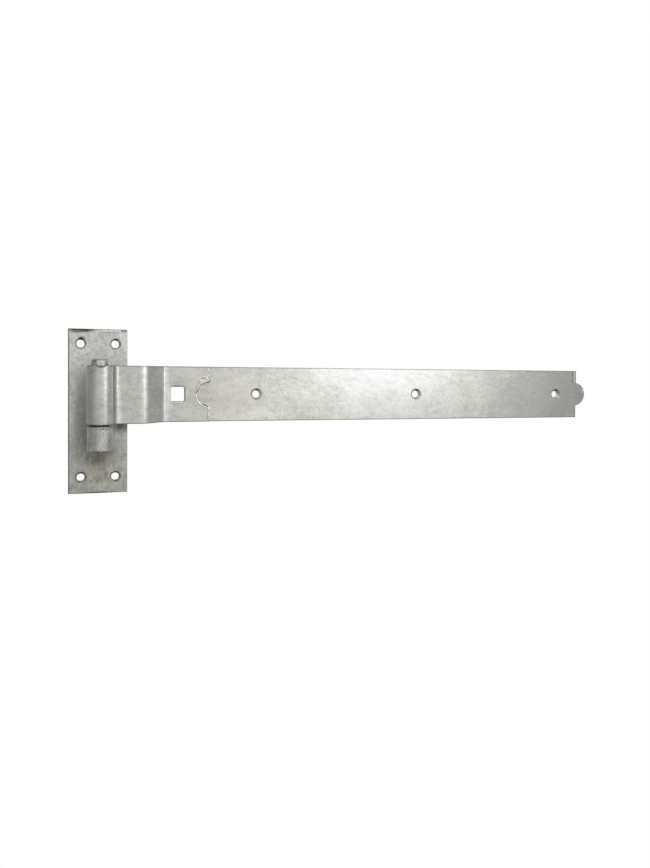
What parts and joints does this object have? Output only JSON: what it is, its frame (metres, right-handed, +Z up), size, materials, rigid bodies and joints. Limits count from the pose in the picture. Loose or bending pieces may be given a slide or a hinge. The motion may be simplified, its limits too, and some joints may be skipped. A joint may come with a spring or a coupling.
{
  "type": "cranked hook and band gate hinge",
  "caption": "Gate hinge: a pin on a screw-on back plate carries a long folded strap that swings on it and is cranked back to lie flush with the plate.",
  "frame": {"origin": "centre of the plate's back face, the face that lies on the post", "axes": "+Y out of the plate's back into the post, so the front faces -Y; +X along the band to its tip; +Z up along the pin"},
  "size_m": [0.4267, 0.034, 0.115],
  "materials": {
    "galvanised_plate": "hot-dip galvanised, dull grey with faint streaks",
    "galvanised_hook": "hot-dip galvanised forging, satin",
    "galvanised_band": "hot-dip galvanised strip, satin with soft sheen"
  },
  "bodies": {
    "hook_side": {"back_plate": "galvanised_plate", "hook": "galvanised_hook"},
    "band_side": {"band": "galvanised_band"}
  },
  "joints": [
    {"name": "gate_swing", "type": "hinge", "parent": "hook_side", "child": "band_side", "pos_m": [0, -0.02525, 0.012], "axis": [0, 0, 1], "range_deg": [-180, 0]}
  ]
}
